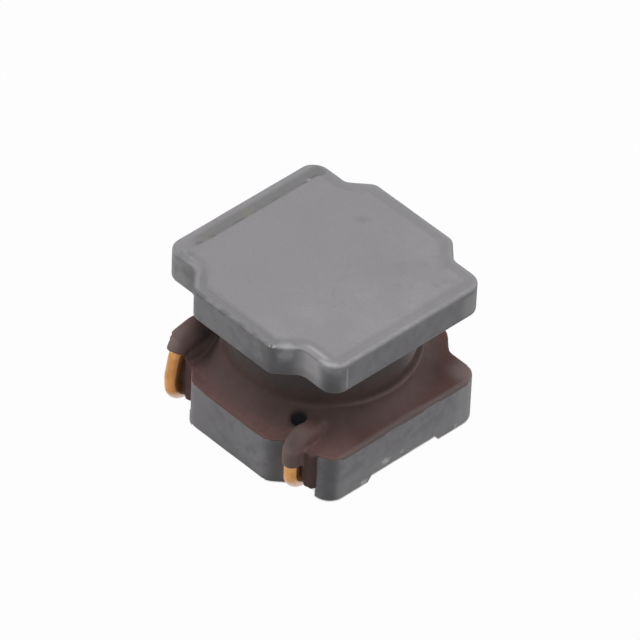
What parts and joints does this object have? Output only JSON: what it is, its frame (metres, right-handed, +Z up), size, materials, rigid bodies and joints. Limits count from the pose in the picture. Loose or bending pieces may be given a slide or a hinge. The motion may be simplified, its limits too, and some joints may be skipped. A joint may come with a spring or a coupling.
{
  "type": "shielded smd power inductor",
  "caption": "Square ferrite drum core with a wound copper coil sealed in brown magnetic resin between its flanges, leads soldered underneath.",
  "frame": {"origin": "centre of the underside, on the board plane that the electrodes rest on", "axes": "+Z up, square to the board; -Y towards the side where both leads come out; +X to the right when that side is seen from the front"},
  "size_m": [0.006, 0.006, 0.0044],
  "materials": {
    "ferrite": "matte, ground and pressed",
    "copper": "enamelled copper wire",
    "resin": "matte cured resin filled with magnetic powder",
    "electrode": "tinned silver film",
    "solder": "bright solder"
  },
  "bodies": {
    "root": {"drum_core": "ferrite", "winding": "copper", "magnetic_resin": "resin", "electrode_left": "electrode", "electrode_right": "electrode", "solder_left": "solder", "solder_right": "solder"}
  },
  "joints": []
}
